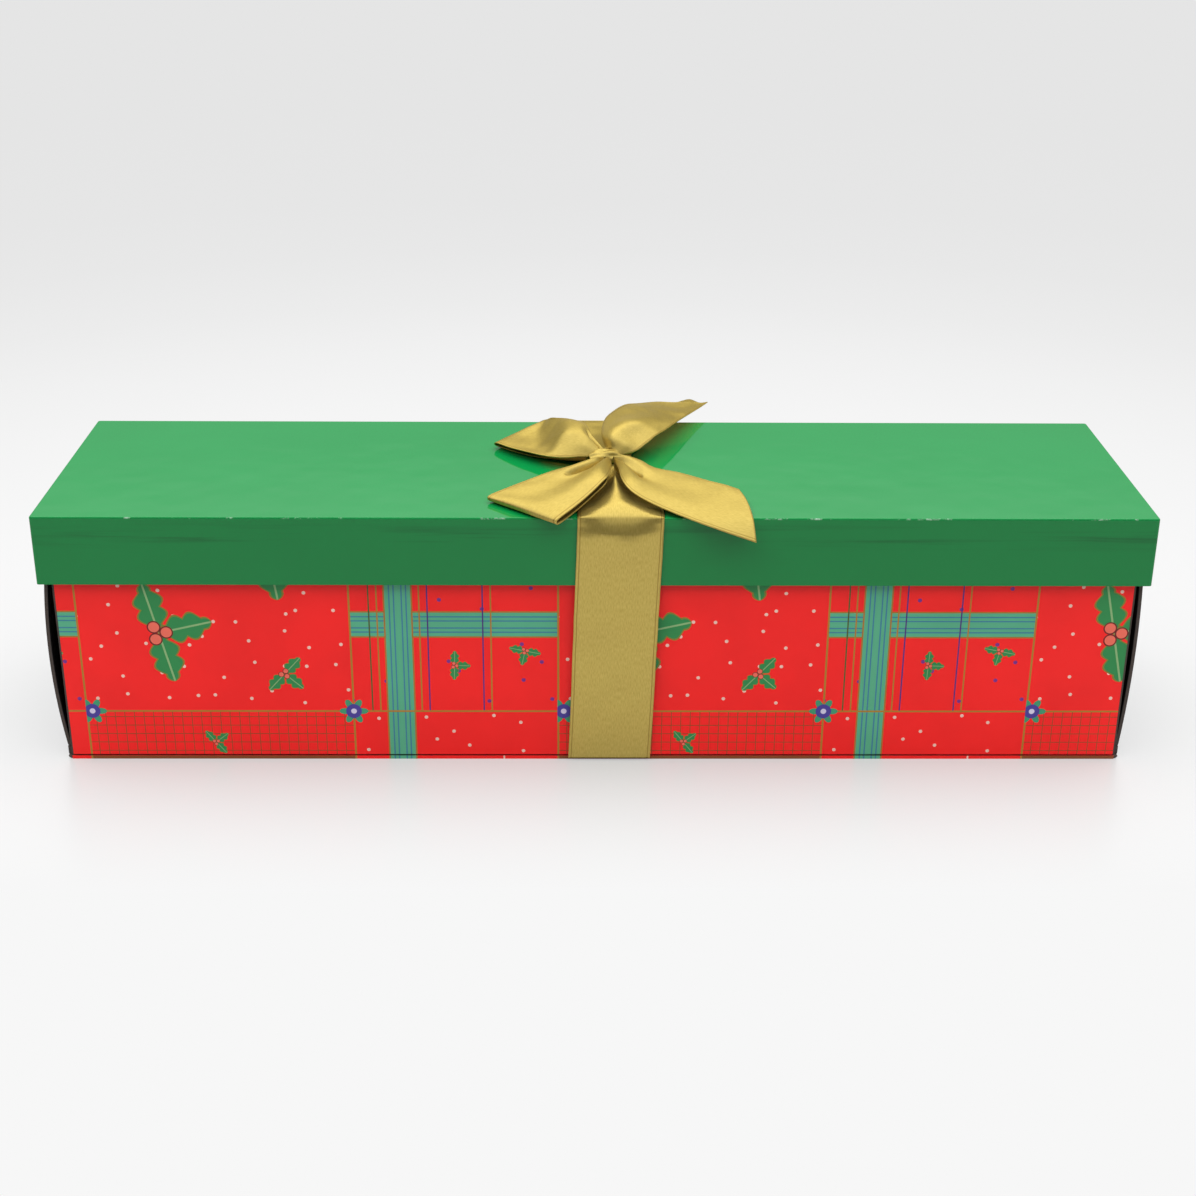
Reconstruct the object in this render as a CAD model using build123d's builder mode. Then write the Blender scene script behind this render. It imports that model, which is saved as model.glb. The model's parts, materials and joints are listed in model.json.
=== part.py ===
"""Folding gift box for a bottle: shallow lid with a satin ribbon bow, and a base whose walls fold flat.

Millimetres, +Z up. The origin is on the table under the middle of the box; +X runs along its length
and -Y is the front.
"""
import os
from math import atan2, cos, hypot, sin

from build123d import *

os.makedirs("parts", exist_ok=True)

# Sheet goods
board = 0.84
paper = 0.13
wall = board + 2 * paper
crease_radius = wall / 2
crease_gap = 0.25

# Lid, outside sizes and its own boards
lid_length = 340.0
lid_depth = 91.0
total_height = 83.3
lid_skirt = 22.0
lid_board = 0.7
lid_paper = 0.15
lid_wall = lid_board + 2 * lid_paper
lid_corner = 0.9
lid_edge = 0.5
lid_turn_in = 12.0
lid_bottom = total_height - lid_skirt

# Base walls: they stand inside the lid with these clearances
lid_play = 1.5
lid_rest_gap = 0.3
end_crease_inset = 2.1
end_side_gap = 0.5
print_margin = 0.6
wall_turn_in = 10.0
base_depth = lid_depth - 2 * (lid_wall + lid_play)
wall_top = total_height - lid_wall - lid_rest_gap
end_crease_x = lid_length / 2 - lid_wall - end_crease_inset
wall_half_length = end_crease_x - crease_radius - crease_gap
end_half_width = base_depth / 2 - wall - end_side_gap

# End panels: how far each bulges and leans out, and the lean back above the lid's rim
end_bulge_left = 1.9
end_bulge_right = 1.05
end_rim_lean_left = 1.25
end_rim_lean_right = 1.0
end_top_lean = 0.6

# Heights of the four creases: each folded wall lies a gap above the one below it
bottom_top = board + 2 * paper
front_crease_z = bottom_top + crease_gap + crease_radius
back_crease_z = front_crease_z + wall + crease_gap
end_crease_z = back_crease_z + wall + crease_gap
wall_face_y = base_depth / 2
wall_crease_y = wall_face_y - crease_radius
foot_round = 1.5

# Ribbon and bow
ribbon_width = 26.0
ribbon_thickness = 0.5
ribbon_lift = 0.15
drop_rim_gap = 0.4
drop_foot_gap = 0.9
drop_foot_z = 0.6
ribbon_centre_x = 7.2
ribbon_foot_x = 4.6
knot_x = 4.0
knot_y = -1.5
knot_size = (14.0, 9.0, 5.6)
knot_corner = 2.2
neck_width = 11.0
ribbon_back_x = 4.0

# Loops on the left: ends of the neck at the knot and of the fold, seen from above
back_loop_neck = ((-5.1, 0.7), (-0.3, 5.3))
back_loop_fold = ((-32.8, 15.2), (-17.3, 34.6))
back_loop_height = 6.5
front_loop_neck = ((-4.7, -3.1), (-0.4, -7.6))
front_loop_fold = ((-33.2, -31.4), (-13.2, -46.2))
front_loop_height = 6.0
loop_fold_height = 2.6
loop_neck_height = 1.6

# Tails on the right: outlines from above, and how each rises and falls (distance, height over the lid)
tail_overhang = 10.5
tail_tip_y = lid_depth / 2 + tail_overhang
front_tail_root = (11.3, -3.0)
front_tail_edge = (47.3, 0.5 - lid_depth / 2)
front_tail_outline = ((12.9, -2.1), (24.0, -9.0), (45.3, -23.8), (47.3, -tail_tip_y), (9.1, -7.5))
front_tail_profile = ((-6.0, 3.4), (6.0, 3.2), (22.0, 2.4), (40.0, 2.0))
front_tail_droop = ((1.7, 1.6), (6.7, -0.5), (11.7, -3.5))
back_tail_root = (11.3, 0.0)
back_tail_tip = (40.0, tail_tip_y)
back_tail_outline = (
    (11.2, -0.5), (23.3, 21.5), (30.2, 35.6), (40.0, tail_tip_y), (24.0, tail_tip_y - 2.0),
    (10.0, 42.0), (4.0, 22.0), (3.0, 3.2), (11.2, 3.2),
)
back_tail_profile = ((-6.0, 1.0), (0.0, 1.3), (6.0, 1.8), (12.0, 3.0), (17.0, 4.8), (24.0, 7.0))


def save(piece, name):
    piece.part.label = name
    export_step(piece.part, f"parts/{name}.step")


def slab(x_half, y_half, z_low, z_high):
    """A flat sheet, centred on the Z axis."""
    with BuildPart() as sheet:
        with BuildSketch(Plane.XY.offset(z_low)):
            Rectangle(2 * x_half, 2 * y_half)
        extrude(amount=z_high - z_low)
    return sheet


def strip(x_low, x_high, y_low, y_high, z_low, z_high):
    """A straight strip between two corners."""
    with BuildPart() as piece:
        with BuildSketch(Plane.XY.offset(z_low)):
            with Locations(((x_low + x_high) / 2, (y_low + y_high) / 2)):
                Rectangle(x_high - x_low, y_high - y_low)
        extrude(amount=z_high - z_low)
    return piece


def extrude_front_view(outline, y_half, mode=Mode.ADD):
    """Extrude an outline seen from the front, equally to the front and to the back."""
    with BuildSketch(Plane.XZ.offset(-y_half)) as front_view:
        add(outline.sketch_local)
    extrude(front_view.sketch, amount=2 * y_half, mode=mode)


# Bottom of the base: board, printed cover below and liner above
bottom_half_length = end_crease_x + crease_radius
inner_board_y = wall_face_y - paper
spine_inner_x = end_crease_x - crease_radius

# Outline of the bottom seen from the front, with its rounded lower ends
with BuildSketch(Plane.XZ) as foot_outline:
    with Locations((0, end_crease_z / 2)):
        Rectangle(2 * bottom_half_length, end_crease_z)
    fillet(foot_outline.vertices().group_by(Axis.Y)[0], foot_round)

with BuildSketch(Plane.XZ) as foot_core:
    with Locations((0, paper + end_crease_z / 2)):
        Rectangle(2 * (bottom_half_length - paper), end_crease_z)
    fillet(foot_core.vertices().group_by(Axis.Y)[0], foot_round - paper)

with BuildPart() as bottom_board:
    extrude_front_view(foot_core, inner_board_y)
    with BuildSketch(Plane.XY.offset(bottom_top - paper)):
        Rectangle(lid_length, lid_depth)
    extrude(amount=total_height, mode=Mode.SUBTRACT)
save(bottom_board, "bottom_board")

cover_half_length = bottom_half_length - foot_round
with BuildPart() as bottom_cover:
    with BuildSketch():
        Rectangle(2 * cover_half_length, base_depth)
    extrude(amount=bottom_top)
    with BuildSketch(Plane.XY.offset(paper)):
        Rectangle(2 * cover_half_length, 2 * inner_board_y)
    extrude(amount=bottom_top, mode=Mode.SUBTRACT)
save(bottom_cover, "bottom_cover")

bottom_liner = slab(spine_inner_x, wall_face_y - wall, bottom_top - paper, bottom_top)
save(bottom_liner, "bottom_liner")

# Low spines that raise the back crease and the two end creases
back_spine_top = back_crease_z - crease_radius - crease_gap
back_spine_board = strip(
    -wall_half_length, wall_half_length,
    wall_face_y - wall, inner_board_y,
    bottom_top - paper, back_spine_top,
)
save(back_spine_board, "back_spine_board")

back_spine_cover = strip(
    -wall_half_length, wall_half_length,
    inner_board_y, wall_face_y,
    bottom_top, back_spine_top,
)
save(back_spine_cover, "back_spine_cover")

end_spine_top = end_crease_z - crease_radius - crease_gap
for side, side_name in ((-1, "left"), (1, "right")):
    with BuildPart() as spine_board:
        extrude_front_view(foot_core, end_half_width)
        with BuildSketch(Plane.XY.offset(bottom_top - paper)):
            with Locations((side * bottom_half_length, 0)):
                Rectangle(2 * wall, base_depth)
        extrude(amount=end_spine_top - bottom_top + paper, mode=Mode.INTERSECT)
    save(spine_board, f"{side_name}_spine_board")

    with BuildPart() as edge_cover:
        extrude_front_view(foot_outline, end_half_width)
        extrude_front_view(foot_core, end_half_width, Mode.SUBTRACT)
        with BuildSketch():
            with Locations((side * (bottom_half_length - foot_round / 2), 0)):
                Rectangle(foot_round, base_depth)
        extrude(amount=end_spine_top, mode=Mode.INTERSECT)
    save(edge_cover, f"{side_name}_edge_cover")


def make_long_wall(side, crease_z, name):
    """Front or back wall: board, printed cover that turns over the top edge, and black liner."""
    crease_y = side * wall_crease_y

    def column(y_outer, y_inner, z_low, z_high, mode=Mode.ADD):
        with Locations((side * (y_outer + y_inner) / 2, (z_low + z_high) / 2)):
            Rectangle(y_outer - y_inner, z_high - z_low, mode=mode)

    board_outer = wall_face_y - paper
    board_inner = board_outer - board
    liner_inner = wall_face_y - wall
    board_top = wall_top - paper
    liner_top = wall_top - wall_turn_in

    with BuildPart() as wall_board:
        with BuildSketch(Plane.YZ):
            column(board_outer, board_inner, crease_z, board_top)
            with Locations((crease_y, crease_z)):
                Circle(board / 2)
        extrude(amount=wall_half_length, both=True)
    save(wall_board, f"{name}_board")

    with BuildPart() as wall_cover:
        with BuildSketch(Plane.YZ):
            column(wall_face_y, liner_inner, crease_z, wall_top)
            with Locations((crease_y, crease_z)):
                Circle(crease_radius)
                Circle(board / 2, mode=Mode.SUBTRACT)
            column(board_outer, board_inner, crease_z, board_top, Mode.SUBTRACT)
            column(board_inner, liner_inner, crease_z, liner_top, Mode.SUBTRACT)
        extrude(amount=wall_half_length - print_margin, both=True)
    save(wall_cover, f"{name}_cover")

    wall_liner = strip(
        -wall_half_length + print_margin, wall_half_length - print_margin,
        min(side * board_inner, side * liner_inner), max(side * board_inner, side * liner_inner),
        crease_z, liner_top,
    )
    save(wall_liner, f"{name}_liner")


make_long_wall(-1, front_crease_z, "front_wall")
make_long_wall(1, back_crease_z, "back_wall")


def circle_through(start, middle, end):
    """Centre and radius of the circle through three points."""
    ax, ay = start
    bx, by = middle
    cx, cy = end
    d = 2 * (ax * (by - cy) + bx * (cy - ay) + cx * (ay - by))
    a2 = ax * ax + ay * ay
    b2 = bx * bx + by * by
    c2 = cx * cx + cy * cy
    x = (a2 * (by - cy) + b2 * (cy - ay) + c2 * (ay - by)) / d
    y = (a2 * (cx - bx) + b2 * (ax - cx) + c2 * (bx - ax)) / d
    return (x, y), hypot(ax - x, ay - y)


def make_end_panel(side, name, bulge, rim_lean):
    """End panel: it bulges outward between its crease and the lid's rim, and leans back above that."""
    rim_z = lid_bottom
    low = (end_crease_x, end_crease_z)
    rim = (end_crease_x + rim_lean, rim_z)
    middle = ((low[0] + rim[0]) / 2 + bulge, (low[1] + rim[1]) / 2)
    centre, radius = circle_through(low, middle, rim)
    low_angle = atan2(low[1] - centre[1], low[0] - centre[0])
    rim_angle = atan2(rim[1] - centre[1], rim[0] - centre[0])
    top = (end_crease_x + rim_lean - end_top_lean, wall_top)

    def point(angle, outward):
        return (
            side * (centre[0] + (radius + outward) * cos(angle)),
            centre[1] + (radius + outward) * sin(angle),
        )

    # Above the rim the panel is straight, drawn past the top edge and then cut level
    run = (top[0] - rim[0], top[1] - rim[1])
    run_length = hypot(*run)
    normal = (run[1] / run_length, -run[0] / run_length)
    past_top = (top[0] + run[0] * wall_turn_in / run_length, top[1] + run[1] * wall_turn_in / run_length)
    joint_angle = (low_angle + rim_angle) / 2

    def leaf(outer, inner, z_high):
        """Band between two offsets from the middle line, cut level at z_high."""
        with BuildLine() as edges:
            ThreePointArc(
                point(low_angle, outer),
                point(joint_angle, outer),
                point(rim_angle, outer),
            )
            Polyline(
                point(rim_angle, outer),
                (side * (past_top[0] + normal[0] * outer), past_top[1] + normal[1] * outer),
                (side * (past_top[0] + normal[0] * inner), past_top[1] + normal[1] * inner),
                point(rim_angle, inner),
            )
            ThreePointArc(
                point(rim_angle, inner),
                point(joint_angle, inner),
                point(low_angle, inner),
            )
            Line(point(low_angle, inner), point(low_angle, outer))
        make_face(edges.edges())
        with Locations((side * end_crease_x, z_high + total_height / 2)):
            Rectangle(base_depth, total_height, mode=Mode.SUBTRACT)

    with BuildSketch(Plane.XZ) as board_outline:
        leaf(board / 2, -board / 2, wall_top - paper)
        with Locations((side * end_crease_x, end_crease_z)):
            Circle(board / 2)

    with BuildSketch(Plane.XZ) as liner_outline:
        leaf(-board / 2, -wall / 2, wall_top - wall_turn_in)

    with BuildSketch(Plane.XZ) as cover_outline:
        leaf(wall / 2, -wall / 2, wall_top)
        with Locations((side * end_crease_x, end_crease_z)):
            Circle(wall / 2)
        add(board_outline.sketch_local, mode=Mode.SUBTRACT)
        add(liner_outline.sketch_local, mode=Mode.SUBTRACT)

    for outline, layer in (
        (board_outline, "board"),
        (cover_outline, "cover"),
        (liner_outline, "liner"),
    ):
        with BuildPart() as panel_layer:
            extrude_front_view(outline, end_half_width)
        save(panel_layer, f"{name}_{layer}")


make_end_panel(-1, "left_end", end_bulge_left, end_rim_lean_left)
make_end_panel(1, "right_end", end_bulge_right, end_rim_lean_right)


# Lid: five boards, a glossy cover that turns in at the rim, and a liner
outer_x = lid_length / 2
outer_y = lid_depth / 2
board_x = outer_x - lid_paper
board_y = outer_y - lid_paper
inner_x = outer_x - lid_wall
inner_y = outer_y - lid_wall
board_bottom = lid_bottom + lid_paper
board_top = total_height - lid_paper
top_board_bottom = board_top - lid_board
lid_ceiling = total_height - lid_wall


def lid_block(x_half, y_half, z_low, z_high, corner, edge):
    """Solid block with rounded upright corners and rounded top edges."""
    with BuildPart() as block:
        with BuildSketch(Plane.XY.offset(z_low)):
            RectangleRounded(2 * x_half, 2 * y_half, corner)
        extrude(amount=z_high - z_low)
        fillet(block.faces().sort_by(Axis.Z)[-1].edges(), edge)
    return block


lid_core = lid_block(
    board_x, board_y, board_bottom, board_top, lid_corner - lid_paper, lid_edge - lid_paper
)
lid_outside = lid_block(outer_x, outer_y, lid_bottom, total_height, lid_corner, lid_edge)

with BuildPart() as lid_top_board:
    add(lid_core.part)
    with BuildSketch(Plane.XY.offset(top_board_bottom)):
        Rectangle(2 * lid_length, 2 * lid_depth)
    extrude(amount=lid_skirt, mode=Mode.INTERSECT)
save(lid_top_board, "lid_top_board")


def skirt_board(name, x_low, x_high, y_low, y_high):
    """Part of the lid's core between the given corners, below the top board."""
    with BuildPart() as piece:
        add(lid_core.part)
        with BuildSketch(Plane.XY.offset(board_bottom)):
            with Locations(((x_low + x_high) / 2, (y_low + y_high) / 2)):
                Rectangle(x_high - x_low, y_high - y_low)
        extrude(amount=top_board_bottom - board_bottom, mode=Mode.INTERSECT)
    save(piece, name)


skirt_inner_x = board_x - lid_board
skirt_inner_y = board_y - lid_board
skirt_board("lid_front_skirt_board", -board_x, board_x, -board_y, -skirt_inner_y)
skirt_board("lid_back_skirt_board", -board_x, board_x, skirt_inner_y, board_y)
skirt_board("lid_left_skirt_board", -board_x, -skirt_inner_x, -skirt_inner_y, skirt_inner_y)
skirt_board("lid_right_skirt_board", skirt_inner_x, board_x, -skirt_inner_y, skirt_inner_y)

with BuildPart() as lid_cover:
    add(lid_outside.part)
    add(lid_core.part, mode=Mode.SUBTRACT)
    with BuildSketch(Plane.XY.offset(lid_bottom)):
        Rectangle(2 * inner_x, 2 * inner_y)
    extrude(amount=lid_skirt / 2, mode=Mode.SUBTRACT)
    with BuildSketch(Plane.XY.offset(board_bottom)):
        Rectangle(2 * skirt_inner_x, 2 * skirt_inner_y)
        Rectangle(2 * inner_x, 2 * inner_y, mode=Mode.SUBTRACT)
    extrude(amount=lid_bottom + lid_turn_in - board_bottom)
save(lid_cover, "lid_cover")

with BuildPart() as lid_liner:
    with BuildSketch(Plane.XY.offset(lid_bottom + lid_turn_in)):
        Rectangle(2 * skirt_inner_x, 2 * skirt_inner_y)
    extrude(amount=top_board_bottom - lid_bottom - lid_turn_in)
    with BuildSketch(Plane.XY.offset(lid_bottom + lid_turn_in)):
        Rectangle(2 * inner_x, 2 * inner_y)
    extrude(amount=lid_ceiling - lid_bottom - lid_turn_in, mode=Mode.SUBTRACT)
save(lid_liner, "lid_liner")


# Ribbon round the lid: a drop at the front and back, and two runs on the top
band_bottom = total_height + ribbon_lift
band_top = band_bottom + ribbon_thickness
edge_y = outer_y + ribbon_lift
half_ribbon = ribbon_width / 2
half_neck = neck_width / 2
knot_front = knot_y - knot_size[1] / 2
knot_back = knot_y + knot_size[1] / 2


def make_drop(side, centre_top, centre_foot, name):
    """Ribbon end that hangs from the lid's edge down to the foot."""
    rim_y = outer_y + drop_rim_gap
    foot_y = wall_face_y + drop_foot_gap
    with BuildPart() as drop:
        with BuildSketch(Plane.YZ):
            with BuildLine():
                Polyline(
                    (side * edge_y, band_top),
                    (side * edge_y, total_height - lid_edge),
                    (side * rim_y, lid_bottom),
                    (side * foot_y, drop_foot_z),
                    (side * (foot_y + ribbon_thickness), drop_foot_z),
                    (side * (rim_y + ribbon_thickness), lid_bottom),
                    (side * (edge_y + ribbon_thickness), total_height - lid_edge),
                    (side * (edge_y + ribbon_thickness), band_bottom),
                    (side * (edge_y + ribbon_thickness / 2), band_top),
                    close=True,
                )
            make_face()
        extrude(amount=lid_length / 2, both=True)
        with BuildSketch(Plane.XZ):
            Polygon(
                (centre_top - half_ribbon, band_top),
                (centre_top + half_ribbon, band_top),
                (centre_foot + half_ribbon, 0),
                (centre_foot - half_ribbon, 0),
                align=None,
            )
        extrude(amount=lid_depth, both=True, mode=Mode.INTERSECT)
    save(drop, name)


def make_top_run(y_knot, y_edge, centre, name):
    """Ribbon from the lid's edge, gathered to the knot."""
    with BuildPart() as run:
        with BuildSketch(Plane.XY.offset(band_bottom)):
            Polygon(
                (centre - half_ribbon, y_edge),
                (centre + half_ribbon, y_edge),
                (knot_x + half_neck, y_knot),
                (knot_x - half_neck, y_knot),
                align=None,
            )
        extrude(amount=ribbon_thickness)
    save(run, name)


make_drop(-1, ribbon_centre_x, ribbon_foot_x, "ribbon_front_drop")
make_drop(1, ribbon_back_x, ribbon_back_x, "ribbon_back_drop")
make_top_run(knot_front, -edge_y, ribbon_centre_x, "ribbon_top_front")
make_top_run(knot_back, edge_y, ribbon_back_x, "ribbon_top_back")

with BuildPart() as bow_knot:
    with BuildSketch(Plane.XY.offset(band_bottom)):
        with Locations((knot_x, knot_y)):
            RectangleRounded(knot_size[0], knot_size[1], knot_corner)
    extrude(amount=knot_size[2])
    fillet(bow_knot.faces().sort_by(Axis.Z)[-1].edges(), knot_corner)
save(bow_knot, "bow_knot")


def along(start, end):
    """Vertical plane that starts at one plan point and runs towards another, with +Y up."""
    run_x = end[0] - start[0]
    run_y = end[1] - start[1]
    length = hypot(run_x, run_y)
    return Plane(
        origin=(start[0], start[1], total_height),
        x_dir=(run_x / length, run_y / length, 0),
        z_dir=(run_y / length, -run_x / length, 0),
    ), length


def cut_to_plan(outline):
    """Keep what lies inside the plan outline."""
    with BuildSketch(Plane.XY.offset(lid_bottom)) as plan:
        Polygon(*outline, align=None)
    extrude(plan.sketch, amount=total_height, mode=Mode.INTERSECT)


def make_loop(name, neck, fold, height):
    """Flattened loop of ribbon from the neck at the knot to its end fold."""
    start = ((neck[0][0] + neck[1][0]) / 2, (neck[0][1] + neck[1][1]) / 2)
    end = ((fold[0][0] + fold[1][0]) / 2, (fold[0][1] + fold[1][1]) / 2)
    plane, length = along(start, end)
    low = band_top + ribbon_lift - total_height
    round_end = length - loop_fold_height / 2
    with BuildPart() as loop:
        with BuildSketch(plane):
            with BuildLine():
                Line((-loop_neck_height, low), (round_end, low))
                ThreePointArc(
                    (round_end, low),
                    (length, low + loop_fold_height / 2),
                    (round_end, low + loop_fold_height),
                )
                ThreePointArc(
                    (round_end, low + loop_fold_height),
                    (length * 0.5, low + height),
                    (-loop_neck_height, low + loop_neck_height),
                )
                Line((-loop_neck_height, low + loop_neck_height), (-loop_neck_height, low))
            make_face()
            offset(amount=-ribbon_thickness, mode=Mode.SUBTRACT)
        extrude(amount=ribbon_width, both=True)
        cut_to_plan((neck[0], fold[0], fold[1], neck[1]))
    save(loop, name)


make_loop("bow_loop_back_left", back_loop_neck, back_loop_fold, back_loop_height)
make_loop("bow_loop_front_left", front_loop_neck, front_loop_fold, front_loop_height)

def ribbon_section(profile, shift):
    """Thin section between a curve and the same curve shifted by one ribbon thickness."""
    with BuildLine() as section:
        upper = Spline(*profile)
        lower = Spline(*[(u + shift[0], v + shift[1]) for u, v in profile])
        Line(upper @ 0, lower @ 0)
        Line(upper @ 1, lower @ 1)
    make_face(section.edges())


# Front tail: lies on the lid and droops a little past its front edge
with BuildPart() as front_tail:
    tail_plane, edge_reach = along(front_tail_root, front_tail_edge)
    droop = tuple((edge_reach + u, height) for u, height in front_tail_droop)
    with BuildSketch(tail_plane):
        ribbon_section(front_tail_profile + droop, (0.0, -ribbon_thickness))
    extrude(amount=2 * ribbon_width, both=True)
    cut_to_plan(front_tail_outline)
save(front_tail, "bow_tail_front_right")

# Back tail: its far edge stands up
with BuildPart() as back_tail:
    back_direction, back_length = along(back_tail_root, back_tail_tip)
    across = Plane(
        origin=(back_tail_root[0], back_tail_root[1], total_height),
        x_dir=-back_direction.z_dir,
        z_dir=back_direction.x_dir,
    )
    with BuildSketch(across):
        ribbon_section(back_tail_profile, (ribbon_thickness / 2, -ribbon_thickness))
    extrude(amount=2 * back_length, both=True)
    cut_to_plan(back_tail_outline)
save(back_tail, "bow_tail_back_right")
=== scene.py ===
"""Looks, light and camera for the folding gift box: printed walls, glossy lid and a satin ribbon bow."""

import json
import math

import bpy
import numpy as np
from mathutils import Matrix, Vector


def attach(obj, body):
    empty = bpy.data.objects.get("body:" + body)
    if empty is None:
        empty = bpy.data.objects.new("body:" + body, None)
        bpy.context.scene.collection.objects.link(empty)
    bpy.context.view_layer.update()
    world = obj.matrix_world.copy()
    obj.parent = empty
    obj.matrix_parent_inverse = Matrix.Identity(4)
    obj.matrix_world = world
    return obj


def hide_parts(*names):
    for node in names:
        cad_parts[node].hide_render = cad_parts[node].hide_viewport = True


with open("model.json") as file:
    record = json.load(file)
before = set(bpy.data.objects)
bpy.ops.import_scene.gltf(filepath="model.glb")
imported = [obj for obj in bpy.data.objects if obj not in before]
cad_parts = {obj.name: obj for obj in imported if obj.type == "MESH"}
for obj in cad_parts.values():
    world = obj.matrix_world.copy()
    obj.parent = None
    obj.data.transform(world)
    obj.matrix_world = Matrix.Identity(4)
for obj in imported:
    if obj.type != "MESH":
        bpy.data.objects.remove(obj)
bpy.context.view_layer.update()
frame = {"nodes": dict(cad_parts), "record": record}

# Sizes in millimetres, in the frame of the solids
mm = 0.001
lid_top = 83.3
lid_front = -45.5
ribbon_width = 26.0
ribbon_sheet = 0.3

# Camera that took the photograph: place in millimetres, turns in degrees
camera_place = (-7.52, -573.06, 289.47)
camera_pitch = 23.768
camera_yaw = -0.871
camera_roll = 0.434
camera_lens = 56.79

# Point that the lamps are aimed at, in metres
lamp_target = (0.0, 0.0, 0.083)


def add(tree, kind, inputs=(), output=0, **settings):
    """Adds one shader node with its settings, feeds its sockets and gives one of its outputs."""
    node = tree.nodes.new("ShaderNode" + kind)
    for name, value in settings.items():
        setattr(node, name, value)
    places = inputs.items() if isinstance(inputs, dict) else enumerate(inputs)
    for place, value in places:
        if isinstance(value, bpy.types.NodeSocket):
            tree.links.new(value, node.inputs[place])
        else:
            node.inputs[place].default_value = value
    return node.outputs[output] if node.outputs else None


def colour(code):
    """Linear colour of an sRGB hex value."""
    values = [int(code[place:place + 2], 16) / 255 for place in (1, 3, 5)]
    linear = [v / 12.92 if v <= 0.04045 else ((v + 0.055) / 1.055) ** 2.4 for v in values]
    return (*linear, 1.0)


def new_material(name):
    """Empty material and its node tree."""
    material = bpy.data.materials.new(name)
    material.use_nodes = True
    material.node_tree.nodes.clear()
    return material, material.node_tree


def surface(tree, shader):
    """Sends a shader to the material's output."""
    add(tree, "OutputMaterial", {"Surface": shader})


def object_place(tree):
    """Point of the object in millimetres."""
    metres = add(tree, "TexCoord", output=3)
    return add(tree, "VectorMath", {0: metres, "Scale": 1 / mm}, operation="SCALE")


def blend(tree, share, first, second):
    """Colour between two hex colours by a share that varies over the surface."""
    return add(tree, "Mix", {0: share, 6: colour(first), 7: colour(second)}, output=2, data_type="RGBA")


def lay_inks(tree, ground, inks):
    """Lays each ink over the ground where its mask is 1."""
    for mask, ink in inks:
        ground = add(tree, "Mix", {0: mask, 6: ground, 7: ink}, output=2, data_type="RGBA")
    return ground


def disc(tree, place, centre, radius):
    """Mask of a round dot."""
    gap = add(tree, "VectorMath", (place, centre), output=1, operation="DISTANCE")
    return add(tree, "Math", (gap, radius), operation="LESS_THAN")


def stripe(tree, along, centre, width):
    """Mask of a straight line of one width."""
    return add(tree, "Math", (along, centre, width / 2), operation="COMPARE")


def both(tree, first, second):
    """Mask where two masks overlap."""
    return add(tree, "Math", (first, second), operation="MULTIPLY")


def dots(tree, place, gap, scatter, radius):
    """Mask of scattered dots a gap apart, their radius given as a share of it."""
    inputs = {"Vector": place, "Scale": 1 / gap, "Randomness": scatter}
    away = add(tree, "TexVoronoi", inputs, voronoi_dimensions="2D")
    return add(tree, "Math", (away, radius), operation="LESS_THAN")


def holly_leaf(tree, place, stalk, turn, length, width):
    """How far a point is inside a spiky leaf and off its midrib, as shares of the leaf's length."""
    local = add(
        tree, "Mapping", (place, (*stalk, 0.0), (0.0, 0.0, math.radians(turn)), (length, length, 1.0)),
        vector_type="TEXTURE",
    )
    apart = add(tree, "SeparateXYZ", (local,)).node
    along = add(tree, "Math", (apart.outputs[0], 0.0), operation="ADD", use_clamp=True)
    bulge = add(tree, "Math", (along, math.pi), operation="MULTIPLY")
    bulge = add(tree, "Math", (bulge,), operation="SINE")
    spikes = add(tree, "Math", (along, 3 * math.pi), operation="MULTIPLY")
    spikes = add(tree, "Math", (add(tree, "Math", (spikes,), operation="COSINE"),), operation="ABSOLUTE")
    spikes = add(tree, "Math", (spikes, 0.38, 0.62), operation="MULTIPLY_ADD")
    edge = add(tree, "Math", (bulge, 0.6), operation="POWER")
    edge = add(tree, "Math", (edge, spikes), operation="MULTIPLY")
    off_rib = add(tree, "Math", (apart.outputs[1],), operation="ABSOLUTE")
    edge = add(tree, "Math", (edge, width / 2), operation="MULTIPLY")
    return add(tree, "Math", (edge, off_rib), operation="SUBTRACT"), off_rib


def holly_sprig(tree, place, centre, turn, length):
    """Inks of three gold-edged leaves with pale midribs, and of three red berries at their stalks."""
    inks = []
    for leaf_turn in (turn + 28, turn - 152, turn - 62):
        inside, off_rib = holly_leaf(tree, place, centre, leaf_turn, length, 0.62)
        leaf = add(tree, "Math", (inside, 0.0), operation="GREATER_THAN")
        green = add(tree, "Math", (inside, 0.035), operation="GREATER_THAN")
        rib = both(tree, green, add(tree, "Math", (off_rib, 0.018), operation="LESS_THAN"))
        inks += [(leaf, colour("#8a7a2c")), (green, colour("#2f8a4c")), (rib, colour("#8cb47a"))]
    for berry in range(3):
        angle = math.radians(turn + 120 * berry + 50)
        off = (math.cos(angle) * length * 0.14, math.sin(angle) * length * 0.14)
        middle = (centre[0] + off[0], centre[1] + off[1], 0.0)
        inks.append((disc(tree, place, middle, length * 0.125), colour("#6b1a1a")))
        inks.append((disc(tree, place, middle, length * 0.1), colour("#f0705c")))
    return inks


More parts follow.
